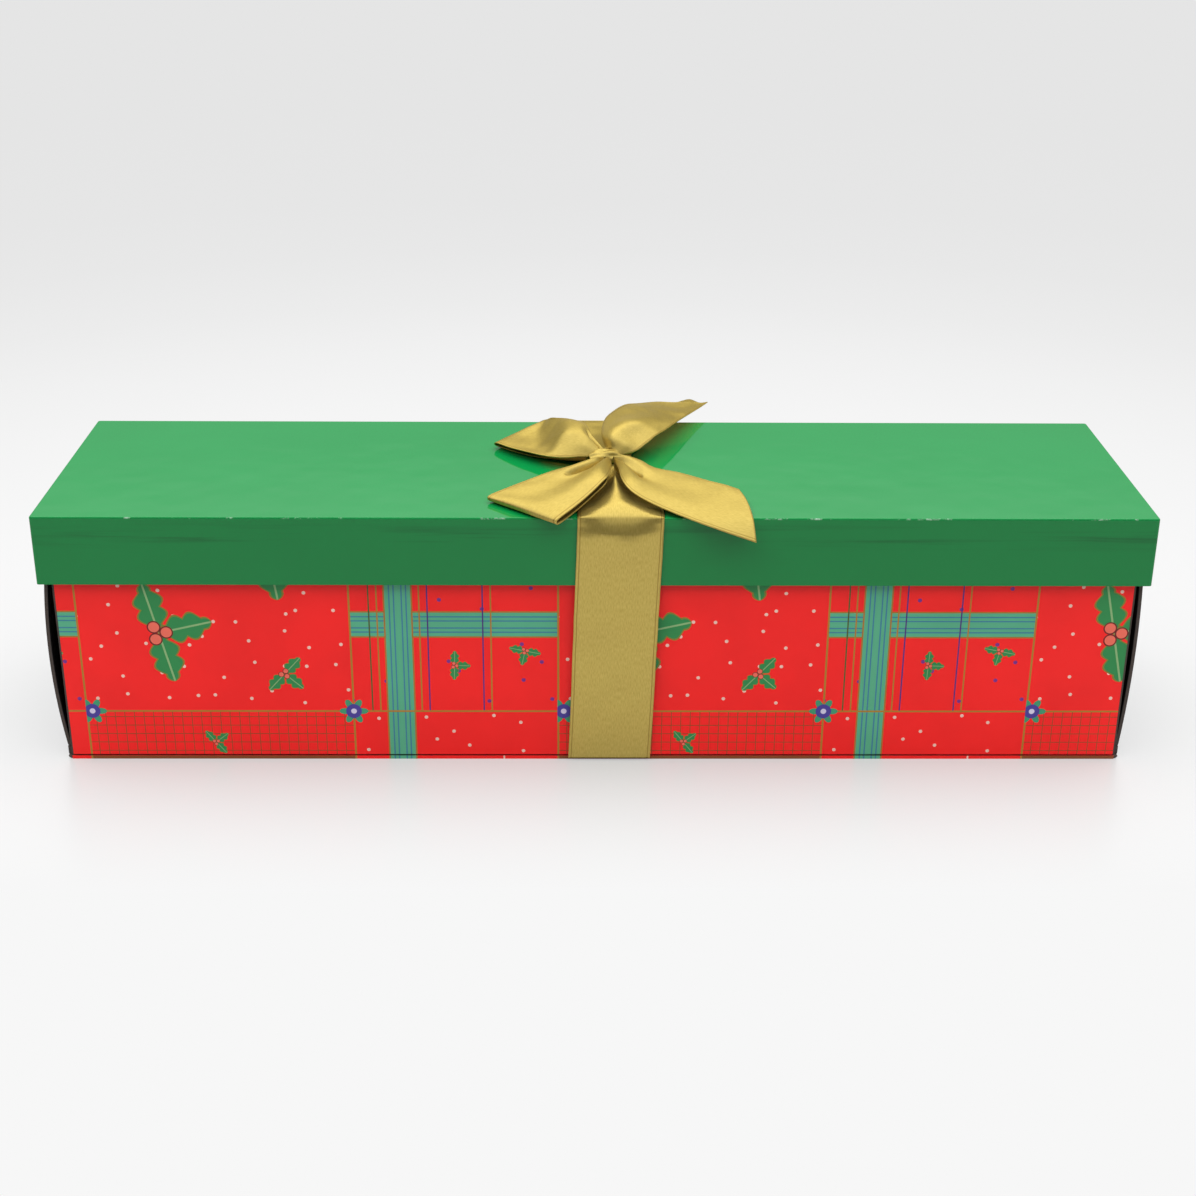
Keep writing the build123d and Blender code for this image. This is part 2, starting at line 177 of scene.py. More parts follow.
def rosette(tree, place, centre, radius):
    """Inks of a small star of six petals with a pale middle."""
    local = add(tree, "VectorMath", (place, (*centre, 0.0)), operation="SUBTRACT")
    apart = add(tree, "SeparateXYZ", (local,)).node
    angle = add(tree, "Math", (apart.outputs[1], apart.outputs[0]), operation="ARCTAN2")
    petals = add(tree, "Math", (add(tree, "Math", (angle, 3.0), operation="MULTIPLY"),), operation="COSINE")
    petals = add(tree, "Math", (petals,), operation="ABSOLUTE")
    reach = add(tree, "Math", (petals, radius * 0.65, radius * 0.35), operation="MULTIPLY_ADD")
    length = add(tree, "VectorMath", (local,), output=1, operation="LENGTH")
    star = add(tree, "Math", (length, reach), operation="LESS_THAN")
    return [
        (star, colour("#3f9a72")),
        (disc(tree, place, (*centre, 0.0), radius * 0.55), colour("#4a3f9a")),
        (disc(tree, place, (*centre, 0.0), radius * 0.2), colour("#d8d4ee")),
    ]


# One repeat of the print, in millimetres across the wall and up it
repeat_across = 148.0
repeat_up = 92.0
column_edge = 84.0
row_edge = 17.0
band_across = 99.0
band_up = 47.0
band_width = 8.0


def festive_print():
    """Node group with the print's colour at a point of the paper, given in millimetres across and up."""
    tree = bpy.data.node_groups.new("festive_print", "ShaderNodeTree")
    tree.interface.new_socket("across", in_out="INPUT", socket_type="NodeSocketFloat")
    tree.interface.new_socket("up", in_out="INPUT", socket_type="NodeSocketFloat")
    tree.interface.new_socket("ink", in_out="OUTPUT", socket_type="NodeSocketColor")
    given = tree.nodes.new("NodeGroupInput")
    across, up = given.outputs[0], given.outputs[1]
    s = add(tree, "Math", (across, repeat_across, 0.0), operation="WRAP")
    t = add(tree, "Math", (up, repeat_up, 0.0), operation="WRAP")
    place = add(tree, "CombineXYZ", (s, t))
    left = add(tree, "Math", (s, column_edge), operation="LESS_THAN")
    right = add(tree, "Math", (s, column_edge), operation="GREATER_THAN")
    low = add(tree, "Math", (t, row_edge), operation="LESS_THAN")
    high = add(tree, "Math", (t, row_edge), operation="GREATER_THAN")
    inks = []

    # Snow dots 1.1 mm across in the upper left and lower right patch, violet specks in the upper right one
    snow = dots(tree, place, 9.5, 0.8, 0.06)
    specks = dots(tree, place, 13.0, 0.9, 0.05)
    inks.append((both(tree, snow, both(tree, left, high)), colour("#f6c8b8")))
    inks.append((both(tree, snow, both(tree, right, low)), colour("#f6c8b8")))
    inks.append((both(tree, specks, both(tree, right, high)), colour("#7a2f86")))

    # Fine hatch of brown lines every 3 mm in the lower left patch
    for axis in (s, t):
        lines = add(tree, "Math", (axis, 1.5), operation="PINGPONG")
        lines = add(tree, "Math", (lines, 0.11), operation="LESS_THAN")
        inks.append((both(tree, lines, both(tree, left, low)), colour("#8a4a22")))

    # Teal bands with a gold edge and blue threads cross in the right column
    for axis, centre in ((t, band_up), (s, band_across)):
        for width, ink in ((band_width + 1.0, "#a8742e"), (band_width, "#58b088")):
            inks.append((both(tree, stripe(tree, axis, centre, width), right), colour(ink)))
        for shift in (-2.6, -1.2, 1.2, 2.6):
            thread = stripe(tree, axis, centre + shift, 0.45)
            inks.append((both(tree, thread, right), colour("#3f7f9c")))
    # Thin olive, gold and violet lines run beside the upright band
    corner = both(tree, right, high)
    for shifts, ink in (((-9,), "#4c5a2a"), ((-6.5, 6.5, 28.5), "#b07c2c"), ((9, 26), "#4c2f7c")):
        for shift in shifts:
            inks.append((both(tree, stripe(tree, s, band_across + shift, 0.45), corner), colour(ink)))

    # Gold rules round the patches
    inks.append((stripe(tree, s, column_edge, 0.6), colour("#b07c2c")))
    inks.append((stripe(tree, s, 0.3, 0.6), colour("#b07c2c")))
    inks.append((stripe(tree, t, row_edge, 0.6), colour("#b07c2c")))

    # Sprigs of three sizes, each with its place and turn, and rosettes where the rules cross
    for length, sprigs in (
        (17.0, (((25, 44), 75), ((60, 72), 250))),
        (7.5, (((63, 30), 20), ((22, 78), 140))),
        (5.0, (((116, 33), 60), ((116, 66), 200), ((138, 38), 320), ((40, 6), 100))),
    ):
        for centre, turn in sprigs:
            inks += holly_sprig(tree, place, centre, turn, length)
    for centre in ((column_edge, row_edge), (2.0, row_edge)):
        inks += rosette(tree, place, centre, 4.5)
    result = tree.nodes.new("NodeGroupOutput")
    tree.links.new(lay_inks(tree, colour("#fe1f1d"), inks), result.inputs[0])
    return tree


print_group = festive_print()


def printed_paper(name, across_axis, up_axis, across_shift, up_shift):
    """Offset-printed paper with a satin laminate: bright inks under a soft, even sheen."""
    material, tree = new_material(name)
    place = object_place(tree)
    across = add(tree, "VectorMath", (place, across_axis), output=1, operation="DOT_PRODUCT")
    up = add(tree, "VectorMath", (place, up_axis), output=1, operation="DOT_PRODUCT")
    across = add(tree, "Math", (across, across_shift), operation="ADD")
    up = add(tree, "Math", (up, up_shift), operation="ADD")
    inks = add(tree, "Group", {"across": across, "up": up}, node_tree=print_group)
    # Press unevenness of a few percent over 20 mm
    mottle = add(tree, "TexNoise", {"Vector": place, "Scale": 0.05, "Detail": 3.0})
    mottle = add(tree, "MapRange", (mottle, 0.3, 0.7, 0.94, 1.04))
    inks = add(tree, "VectorMath", {0: inks, "Scale": mottle}, operation="SCALE")
    # Paper fibres about 0.4 mm, drawn coarser than real so that they show
    fibres = add(tree, "TexNoise", {"Vector": place, "Scale": 2.5, "Detail": 2.0})
    bump = add(tree, "Bump", {"Strength": 0.08, "Distance": 0.0001, "Height": fibres})
    shader = add(
        tree, "BsdfPrincipled",
        {"Base Color": inks, "Roughness": 0.45, "IOR": 1.5, "Specular IOR Level": 0.3, "Normal": bump},
    )
    surface(tree, shader)
    return material


def gloss_paper():
    """Film-laminated green paper: a deep colour under a clear, nearly mirror-like coat."""
    material, tree = new_material("green_gloss_paper")
    place = object_place(tree)
    # The ink's depth varies a little over 30 mm
    mottle = add(tree, "TexNoise", {"Vector": place, "Scale": 0.03, "Detail": 2.0})
    green = blend(tree, mottle, "#087939", "#0b7f3d")
    # Painted highlight: pale glints are painted here and there along the lid's front fold, where its crease
    # catches the light
    apart = add(tree, "SeparateXYZ", (place,)).node
    fold = stripe(tree, apart.outputs[1], lid_front, 0.5)
    fold = both(tree, fold, add(tree, "Math", (apart.outputs[2], lid_top - 0.5), operation="GREATER_THAN"))
    painted_glints = add(tree, "TexNoise", {"Vector": place, "Scale": 0.1, "Detail": 6.0, "Roughness": 0.75})
    painted_glints = add(tree, "MapRange", (painted_glints, 0.55, 0.66, 0.0, 0.6))
    green = lay_inks(tree, green, [(both(tree, fold, painted_glints), colour("#d3e6d8"))])
    # Painted reflection: dark streaks 70 mm long and 2 mm high run along the skirts, most of them 6 mm
    # under the fold, where puckers in the film mirror something dark
    painted_reflection_streaks = add(tree, "VectorMath", (place, (0.014, 0.014, 0.45)), operation="MULTIPLY")
    painted_reflection_streaks = add(tree, "TexNoise", {"Vector": painted_reflection_streaks, "Scale": 1.0, "Detail": 3.0, "Roughness": 0.6})
    painted_reflection_streaks = add(tree, "MapRange", (painted_reflection_streaks, 0.5, 0.66, 0.0, 0.75))
    under = add(tree, "Math", (apart.outputs[2], lid_top - 6.0), operation="SUBTRACT")
    under = add(tree, "Math", (under,), operation="ABSOLUTE")
    under = add(tree, "MapRange", (under, 0.8, 5.0, 1.0, 0.0))
    green = lay_inks(tree, green, [(both(tree, painted_reflection_streaks, under), colour("#05602d"))])
    # The film follows the board's slight waviness, about 12 mm from wave to wave
    waves = add(tree, "TexNoise", {"Vector": place, "Scale": 0.08, "Detail": 1.0})
    bump = add(tree, "Bump", {"Strength": 0.12, "Distance": 0.0006, "Height": waves})
    shader = add(
        tree, "BsdfPrincipled", {"Base Color": green, "Roughness": 0.05, "IOR": 1.37, "Normal": bump}
    )
    surface(tree, shader)
    return material


def black_paper():
    """Uncoated black wrapping paper: matt, with a faint grey fibre."""
    material, tree = new_material("black_paper")
    place = object_place(tree)
    # Fibres about 0.6 mm, drawn coarser than real so that they show
    fibres = add(tree, "TexNoise", {"Vector": place, "Scale": 1.6, "Detail": 4.0})
    black = blend(tree, fibres, "#151112", "#221c1c")
    bump = add(tree, "Bump", {"Strength": 0.15, "Distance": 0.0002, "Height": fibres})
    inputs = {"Base Color": black, "Roughness": 0.6, "IOR": 1.45, "Normal": bump}
    surface(tree, add(tree, "BsdfPrincipled", inputs))
    return material


def board(name, shade):
    """Pressed greyboard: a dull, flecked fibre face and the same fibres at the cut edges."""
    material, tree = new_material(name)
    # Fibre bundles about 0.3 mm
    fibres = add(tree, "TexNoise", {"Vector": object_place(tree), "Scale": 3.0, "Detail": 4.0})
    flecks = add(tree, "MapRange", (fibres, 0.3, 0.7, 0.8, 1.12))
    tint = add(tree, "VectorMath", {0: colour(shade)[:3], "Scale": flecks}, operation="SCALE")
    bump = add(tree, "Bump", {"Strength": 0.3, "Distance": 0.0002, "Height": fibres})
    inputs = {"Base Color": tint, "Roughness": 0.85, "IOR": 1.45, "Normal": bump}
    surface(tree, add(tree, "BsdfPrincipled", inputs))
    return material


def satin():
    """Polyester satin: long floats along the ribbon give a soft broad gloss beside woven selvedges."""
    material, tree = new_material("satin_ribbon")
    weave = add(tree, "UVMap", uv_map="weave")
    apart = add(tree, "SeparateXYZ", (weave,)).node
    along, across = apart.outputs[0], apart.outputs[1]
    # Distance to the nearer edge in millimetres: the woven cord there is painted brighter as its edge
    # highlight, and a groove just inside it is painted darker as its shade
    edge = add(tree, "Math", (across, ribbon_width / 2), operation="PINGPONG")
    selvedge = add(tree, "Math", (edge, 0.35), operation="LESS_THAN")
    groove_shade = stripe(tree, edge, 0.9, 0.35)
    # Floats along the ribbon, real ones about 0.1 mm wide, drawn 0.3 mm wide so that they show
    threads = add(tree, "CombineXYZ", (add(tree, "Math", (along, 0.2), operation="MULTIPLY"), across))
    threads = add(tree, "TexNoise", {"Vector": threads, "Scale": 3.3, "Detail": 1.0}, noise_dimensions="2D")
    gold = blend(tree, threads, "#af984b", "#cfb867")
    gold = lay_inks(tree, gold, [(selvedge, colour("#c6ad5c")), (groove_shade, colour("#a08744"))])
    # Handled ribbon is never quite flat: low swells about 15 mm long
    swells = add(tree, "TexNoise", {"Vector": weave, "Scale": 0.065, "Detail": 1.0}, noise_dimensions="2D")
    swells = add(tree, "Bump", {"Strength": 1.0, "Distance": 0.0012, "Height": swells})
    bump = add(tree, "Bump", {"Strength": 0.35, "Distance": 0.0001, "Height": threads, "Normal": swells})
    shader = add(
        tree, "BsdfPrincipled",
        {
            "Base Color": gold, "Roughness": 0.35, "IOR": 1.5, "Metallic": 0.75,
            "Specular Tint": colour("#d0c08c"), "Anisotropic": 0.75, "Anisotropic Rotation": 0.25,
            "Tangent": add(tree, "Tangent", direction_type="UV_MAP", uv_map="weave"), "Normal": bump,
        },
    )
    surface(tree, shader)
    return material


def curve_through(points, count):
    """Smooth curve through the points of an array's first axis, at count even steps."""
    points = np.asarray(points, float)
    padded = np.concatenate([2 * points[:1] - points[1:2], points, 2 * points[-1:] - points[-2:-1]])
    steps = np.linspace(0, len(points) - 1, count)
    start = np.minimum(steps.astype(int), len(points) - 2)
    t = (steps - start).reshape((-1,) + (1,) * (points.ndim - 1))
    a, b, c, d = (padded[start + shift] for shift in range(4))
    return b + t * (c - a) / 2 + t**2 * (a - 2.5 * b + 2 * c - d / 2) + t**3 * (1.5 * (b - c) + (d - a) / 2)


def press_pleat(grid, start, end, width, depth):
    """Presses a furrow that dies out from start to end, two points given as shares along and across."""
    rows, columns = grid.shape[:2]
    length = np.linalg.norm(np.diff(grid, axis=0), axis=2).mean(axis=1).sum()
    size = np.array([length, ribbon_width])
    shares = np.meshgrid(np.linspace(0, 1, rows), np.linspace(0, 1, columns), indexing="ij")
    place = np.stack(shares, axis=2) * size
    first = np.array(start) * size
    run = np.array(end) * size - first
    reach = np.clip((place - first) @ run / (run @ run), 0, 1)
    gap = np.linalg.norm(place - first - reach[..., None] * run, axis=2)
    grid[:, :, 2] -= depth * (1 - reach**3) * np.exp(-((gap / width) ** 2))


def ribbon_surface(name, ribs, along=72, across=32, pleats=()):
    """Ribbon through ribs of points, each from one edge to the other, with heights in mm above the lid.

    along and across count the mesh's points each way. A pleat is its start and end as shares along and
    across, its width and its depth.
    """
    grid = curve_through([curve_through(rib, across) for rib in ribs], along)
    for pleat in pleats:
        press_pleat(grid, *pleat)
    grid[:, :, 2] += lid_top
    steps = np.linalg.norm(np.diff(grid, axis=0), axis=2).mean(axis=1)
    length = np.concatenate([[0.0], np.cumsum(steps)])
    mesh = bpy.data.meshes.new(name)
    faces = [
        (i * across + j, (i + 1) * across + j, (i + 1) * across + j + 1, i * across + j + 1)
        for i in range(along - 1)
        for j in range(across - 1)
    ]
    mesh.from_pydata((grid * mm).reshape(-1, 3).tolist(), [], faces)
    layer = mesh.uv_layers.new(name="weave")
    for loop in mesh.loops:
        i, j = divmod(loop.vertex_index, across)
        layer.data[loop.index].uv = (length[i], ribbon_width * j / (across - 1))
    mesh.polygons.foreach_set("use_smooth", [True] * len(mesh.polygons))
    piece = bpy.data.objects.new(name, mesh)
    bpy.context.scene.collection.objects.link(piece)
    thickness = piece.modifiers.new("thickness", "SOLIDIFY")
    thickness.thickness = ribbon_sheet * mm
    thickness.offset = 0.0
    return piece, float(length[-1])


def settle(piece, nodes):
    """Gives a ribbon piece its finish and its body, and hides the solids that it stands in for."""
    piece.data.materials.append(satin_ribbon)
    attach(piece, "lid")
    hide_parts(*nodes)


satin_ribbon = satin()

# Back left loop: out from the knot over a puffed lobe, round the fold and back under itself
back_loop_ribs = [
    [(1.0, -0.5, 3.2), (1.4, 0.6, 4.2), (2.0, 1.8, 4.6), (2.6, 3.0, 4.6), (3.2, 4.2, 4.0)],
    [(-4.4, -1.8, 4.0), (-3.4, 1.4, 6.6), (-2.4, 4.6, 7.8), (-1.4, 7.8, 7.6), (-0.6, 10.8, 6.4)],
    [(-9.0, -2.6, 3.9), (-7.4, 2.2, 7.0), (-5.8, 7.4, 9.0), (-4.4, 13.2, 9.4), (-3.2, 18.6, 8.2)],
    [(-13.4, -1.6, 3.7), (-11.6, 3.6, 6.2), (-9.6, 9.4, 8.8), (-7.6, 16.2, 9.4), (-6.0, 22.6, 8.0)],
    [(-17.4, 1.0, 3.5), (-15.4, 5.8, 3.9), (-12.8, 11.6, 6.6), (-10.6, 19.4, 8.4), (-9.2, 26.4, 7.4)],
    [(-21.2, 4.2, 3.3), (-19.2, 9.0, 2.8), (-16.6, 14.8, 3.6), (-13.8, 22.6, 6.0), (-12.2, 30.0, 6.4)],
    [(-24.6, 7.2, 3.1), (-22.2, 12.4, 2.7), (-19.2, 18.6, 2.6), (-16.4, 26.0, 4.2), (-14.4, 33.2, 5.4)],
    [(-28.2, 10.8, 2.8), (-25.4, 16.2, 2.6), (-22.2, 22.4, 2.4), (-18.8, 29.2, 2.9), (-16.0, 35.6, 4.0)],
    [(-32.4, 16.0, 2.4), (-29.0, 21.2, 2.5), (-25.4, 26.6, 2.5), (-21.6, 32.0, 2.8), (-17.4, 36.8, 3.2)],
    [(-33.0, 17.0, 1.5), (-29.6, 22.2, 1.5), (-26.0, 27.4, 1.5), (-22.2, 32.8, 1.6), (-17.9, 37.6, 1.8)],
    [(-31.6, 17.4, 0.7), (-28.6, 22.2, 0.5), (-25.2, 27.2, 0.5), (-21.2, 32.2, 0.5), (-17.0, 36.8, 0.7)],
    [(-26.0, 12.6, 0.5), (-23.2, 18.0, 0.5), (-19.6, 23.6, 0.5), (-16.0, 29.4, 0.5), (-12.8, 34.4, 0.6)],
    [(-19.4, 8.0, 0.5), (-17.0, 12.8, 0.5), (-14.0, 18.2, 0.5), (-11.2, 24.0, 0.5), (-8.8, 29.4, 0.6)],
    [(-10.0, 4.6, 0.6), (-8.8, 8.4, 0.7), (-7.2, 12.4, 0.8), (-5.6, 16.6, 0.8), (-4.2, 20.6, 0.8)],
    [(-1.0, 1.2, 1.4), (-0.6, 2.8, 1.5), (0.2, 4.6, 1.6), (1.2, 6.4, 1.6), (2.0, 8.0, 1.6)],
]

# Front left loop: two lobes with a pleat between them near the knot, its fold just past the lid's edge
front_loop_ribs = [
    [(1.4, -3.0, 3.6), (2.4, -3.6, 4.4), (3.2, -4.2, 3.6), (4.0, -4.8, 4.8), (4.8, -5.2, 3.8)],
    [(-2.6, -8.4, 4.6), (-0.6, -9.6, 6.2), (1.2, -10.8, 5.0), (3.0, -12.2, 7.0), (4.8, -14.6, 5.8)],
    [(-8.4, -13.2, 4.8), (-5.8, -15.4, 6.2), (-3.2, -18.0, 5.2), (0.6, -21.4, 8.0), (3.9, -26.2, 6.8)],
    [(-14.4, -17.2, 4.4), (-11.0, -20.2, 5.2), (-7.2, -24.0, 4.8), (-2.6, -29.4, 7.6), (1.6, -32.8, 6.7)],
    [(-20.4, -21.8, 3.7), (-16.4, -25.2, 4.0), (-12.0, -29.4, 4.2), (-6.8, -35.0, 5.8), (-1.6, -38.6, 5.6)],
    [(-26.6, -26.6, 2.9), (-22.4, -30.4, 3.1), (-17.6, -34.8, 3.2), (-12.2, -40, 4), (-5.8, -44.6, 4)],
    [(-32.4, -31.8, 2.2), (-27.6, -36.2, 2.5), (-22.8, -40.6, 2.5), (-17.4, -46, 2.5), (-11.2, -51.4, 2.2)],
    [(-33.2, -32.8, 1.4), (-28.4, -37.2, 1.4), (-23.4, -41.8, 1.4), (-18.2, -46.8, 1.3), (-12, -52.2, 1.1)],
    [(-32, -31.6, 0.7), (-27.4, -36, 0.6), (-22.4, -40.6, 0.6), (-17.2, -45.4, 0.6), (-11, -51, 0.5)],
    [(-24, -24.4, 0.6), (-19.8, -28.4, 0.6), (-15.4, -32.6, 0.6), (-10.6, -37.4, 0.8), (-5.8, -42.3, 1.4)],
    [(-14.6, -17.6, 0.6), (-11.2, -21.4, 0.7), (-7.4, -25.6, 1.2), (-4.0, -30.2, 2.2), (-0.8, -34.9, 3.4)],
    [(-5.6, -10.2, 0.8), (-3.6, -13.6, 1.0), (-1.0, -17.4, 1.8), (1.2, -22.0, 3.2), (3.2, -27.4, 5.0)],
    [(1.4, -3.4, 1.6), (2.0, -4.4, 1.8), (2.8, -5.4, 2.0), (3.4, -6.4, 2.2), (4.0, -7.2, 2.4)],
]

# Front right tail: a pleat by the knot opens into a flat end that droops past the lid's front edge
front_tail_ribs = [
    [(5.4, -3.4, 3.8), (5.7, -4.0, 4.8), (5.9, -4.8, 3.6), (6.0, -5.6, 4.6), (6.2, -6.4, 3.6)],
    [(10.2, -4.6, 5.0), (9.8, -7.4, 6.0), (9.2, -10.4, 4.4), (8.4, -13.2, 6.2), (7.0, -17.8, 5.8)],
    [(14.2, -8.6, 5.2), (13.6, -12.2, 5.6), (12.4, -16.6, 3.9), (10.6, -22.0, 6.6), (7.6, -27.4, 6.2)],
    [(17.0, -11.8, 4.6), (16.2, -16.0, 5.2), (14.8, -21.4, 4.0), (12.4, -28.2, 6.2), (9.4, -34.2, 5.6)],
    [(19.8, -13.4, 4.1), (19.0, -18.6, 4.6), (17.6, -24.6, 4.0), (15.4, -31.4, 5.0), (12.8, -38.8, 4.4)],
    [(26.6, -15.0, 3.3), (25.4, -21.0, 3.5), (23.8, -27.8, 3.3), (21.6, -35.0, 3.4), (19.0, -42.8, 2.5)],
    [(35.0, -20.0, 2.6), (34.0, -27.0, 2.6), (32.6, -34.2, 2.3), (30.8, -41.4, 1.8), (28.4, -48.8, 0.7)],
    [(40.4, -23.2, 2.3), (40.4, -30.8, 2.2), (40.0, -38.4, 1.8), (39.2, -45.8, 0.8), (37.8, -52.8, -1.4)],
    [(44.2, -26.2, 2.0), (45.6, -33.4, 1.8), (46.4, -40.8, 1.3), (46.9, -48.0, 0.0), (47.2, -55.4, -3.8)],
]

# Back right tail: a lit lobe by the knot, then a steeper side that rises to a wavy far edge
back_tail_ribs = [
    [(6.6, -0.8, 4.0), (6.0, 0.4, 5.0), (5.2, 1.6, 5.6), (4.4, 2.6, 5.2), (3.6, 3.6, 4.6)],
    [(12.5, 1.4, 4.5), (9.3, 2.0, 6.9), (5.6, 3.6, 8.8), (3.0, 9.0, 7.6), (2.3, 14.4, 6.0)],
    [(16.7, 6.6, 5.6), (13.0, 9.0, 7.8), (8.8, 11.8, 10.2), (5.6, 18.0, 9.0), (3.4, 26.0, 7.2)],
    [(19.8, 11.6, 6.4), (17.3, 13.9, 8.4), (13.8, 17.2, 10.2), (9.8, 27.0, 8.6), (6.5, 36.4, 6.8)],
    [(23.5, 18.8, 6.2), (21.4, 21.4, 7.6), (18.4, 25.6, 8.6), (14.6, 35.8, 7.6), (10.6, 44.6, 6.4)],
    [(28.3, 30.1, 5.6), (25.9, 33.4, 6.2), (23.0, 38.0, 6.5), (19.2, 44.6, 6.1), (15.5, 49.6, 5.3)],
    [(32.6, 40.6, 4.6), (30.6, 44.0, 4.8), (28.4, 47.8, 4.8), (25.4, 51.6, 4.6), (22.1, 55.4, 4.0)],
    [(36.9, 50.7, 3.7), (35.2, 52.6, 3.8), (33.2, 54.8, 3.9), (30.6, 55.6, 3.8), (26.9, 56.6, 3.4)],
    [(39.8, 57.1, 3.4), (36.9, 56.0, 3.5), (33.9, 59.4, 3.6), (31.4, 58.8, 3.4), (28.9, 56.8, 3.2)],
]


def run_rib(y, places, heights):
    """One rib of the band's run over the lid: its points' places across and their heights."""
    return [(x, y, height) for x, height in zip(places, heights)]


def drop_rib(height, left, front, belly):
    """One rib of the drop, its points evenly spaced, with a belly that is fullest right of the middle."""
    shares = enumerate((0.0, 0.3, 0.75, 1.0, 0.95, 0.45, 0.0))
    return [(left + ribbon_width * place / 6, front - belly * share, height) for place, share in shares]


# Front run of the band and its drop: up to the knot in a ridge, over the lid's edge and down to the floor
front_band_ribs = [
    run_rib(-3.0, (3.4, 4.4, 5.2, 6.0, 6.8, 7.6, 8.6), (0.8, 1.2, 1.6, 1.8, 1.6, 1.2, 0.8)),
    run_rib(-10.0, (1.6, 3.6, 4.8, 6.0, 7.2, 8.6, 11.0), (0.3, 0.4, 0.5, 0.6, 0.5, 0.4, 0.3)),
    run_rib(-15.0, (0.4, 3.0, 4.6, 5.9, 7.2, 9.0, 12.8), (0.2, 0.3, 0.6, 1.2, 0.6, 0.3, 0.2)),
    run_rib(-20.0, (-1.2, 2.4, 4.6, 5.9, 7.3, 9.6, 14.6), (0.2, 0.3, 1.8, 4.2, 1.8, 0.3, 0.2)),
    run_rib(-27.5, (-3.8, 0.8, 3.6, 6.1, 8.8, 12.0, 17.4), (0.2, 0.3, 2.0, 4.0, 2.0, 0.3, 0.2)),
    run_rib(-34.0, (-5.2, -1.2, 2.2, 6.3, 10.4, 14.6, 19.0), (0.2, 0.4, 1.9, 3.0, 1.9, 0.4, 0.2)),
    run_rib(-39.5, (-5.7, -1.6, 2.6, 6.8, 11.2, 15.8, 20.1), (0.3, 1.0, 1.9, 2.3, 1.9, 1.0, 0.3)),
    run_rib(-43.4, (-5.8, -1.4, 2.9, 7.2, 11.6, 16.0, 20.3), (0.3, 0.8, 1.2, 1.4, 1.2, 0.8, 0.3)),
    run_rib(-45.6, (-5.8, -1.4, 2.9, 7.2, 11.6, 16.0, 20.3), (0.2, 0.4, 0.5, 0.5, 0.5, 0.4, 0.2)),
    drop_rib(-0.7, -5.8, -45.9, 0.8),
    drop_rib(-2.6, -5.8, -46.0, 1.6),
    drop_rib(-4.8, -5.9, -46.1, 2.2),
    drop_rib(-8.0, -6.0, -46.1, 2.4),
    drop_rib(-12.0, -6.1, -46.1, 1.8),
    drop_rib(-17.0, -6.3, -46.0, 0.8),
    drop_rib(-26.0, -6.6, -45.9, 0.2),
    drop_rib(-33.0, -6.9, -45.7, 0.0),
    drop_rib(-38.5, -7.0, -45.4, -0.2),
    drop_rib(-46.0, -7.3, -45.1, 0.0),
    drop_rib(-60.0, -7.7, -44.9, 0.1),
    drop_rib(-78.0, -8.4, -44.3, 0.0),
    drop_rib(-82.4, -8.6, -43.9, 0.0),
]


def back_band_rib(y, height, half, ridge=0.0):
    """One rib of the back run, in line with the bow and flat or ridged."""
    shares = (-1.0, -0.66, -0.33, 0.0, 0.33, 0.66, 1.0)
    return [(4.0 + half * share, y, height + ridge * max(0.0, 1 - 2.2 * abs(share))) for share in shares]


back_band_ribs = [
    back_band_rib(4.0, 1.2, 5.5, 1.2),
    back_band_rib(12.0, 0.6, 8.5, 1.6),
    back_band_rib(24.0, 0.3, 12.6, 0.8),
    back_band_rib(36.0, 0.3, 13.0),
    back_band_rib(43.4, 0.4, 13.0),
    back_band_rib(45.7, 0.1, 13.0),
    back_band_rib(46.2, -1.0, 13.0),
    back_band_rib(46.2, -10.0, 13.0),
    back_band_rib(46.0, -22.0, 13.0),
    back_band_rib(45.4, -38.0, 12.9),
    back_band_rib(44.9, -60.0, 12.8),
    back_band_rib(44.3, -78.0, 12.7),
    back_band_rib(43.9, -82.2, 12.7),
]


def knot_surface():
    """Narrow wrap round the middle of the bow, gathered into twisted wrinkles."""
    around, along = 48, 40
    # Ribbon that shows round the knot and across it, and the margin at its edge, in millimetres
    round_it, across_it, margin = 24.0, 22.0, 2.0
    rows = []
    for i in range(along):
        share = i / (along - 1)
        centre = np.array([-2.2 + 13.0 * share, -1.2 + 4.6 * share, 2.6 + 0.6 * math.sin(math.pi * share)])
        half = 0.55 + 0.45 * math.sin(math.pi * min(max(share, 0.02), 0.98)) ** 0.5
        row = []
        for j in range(around):
            angle = 2 * math.pi * j / around
            wrinkle = 1 + 0.09 * math.sin(5 * angle + 7 * share) + 0.05 * math.sin(9 * angle - 12 * share)
            reach_y = 3.6 * half * wrinkle
            reach_z = 2.5 * half * wrinkle
            off = (-0.3 * reach_y * math.cos(angle), reach_y * math.cos(angle), reach_z * math.sin(angle))
            row.append(centre + np.array(off))
        rows.append(row)
    grid = np.array(rows)
    grid[:, :, 2] += lid_top
    faces = []
    for i in range(along - 1):
        for j in range(around):
            after = (j + 1) % around
            low, high = i * around, (i + 1) * around
            faces.append((low + j, low + after, high + after, high + j))
    mesh = bpy.data.meshes.new("bow_knot_wrap")
    mesh.from_pydata((grid * mm).reshape(-1, 3).tolist(), [], faces)
    layer = mesh.uv_layers.new(name="weave")
    for loop in mesh.loops:
        i, j = divmod(loop.vertex_index, around)
        layer.data[loop.index].uv = (round_it * j / around, margin + across_it * i / along)
    mesh.polygons.foreach_set("use_smooth", [True] * len(mesh.polygons))
    piece = bpy.data.objects.new("bow_knot_wrap", mesh)
    bpy.context.scene.collection.objects.link(piece)
    thickness = piece.modifiers.new("thickness", "SOLIDIFY")
    thickness.thickness = ribbon_sheet * mm
    thickness.offset = -1.0
    return piece


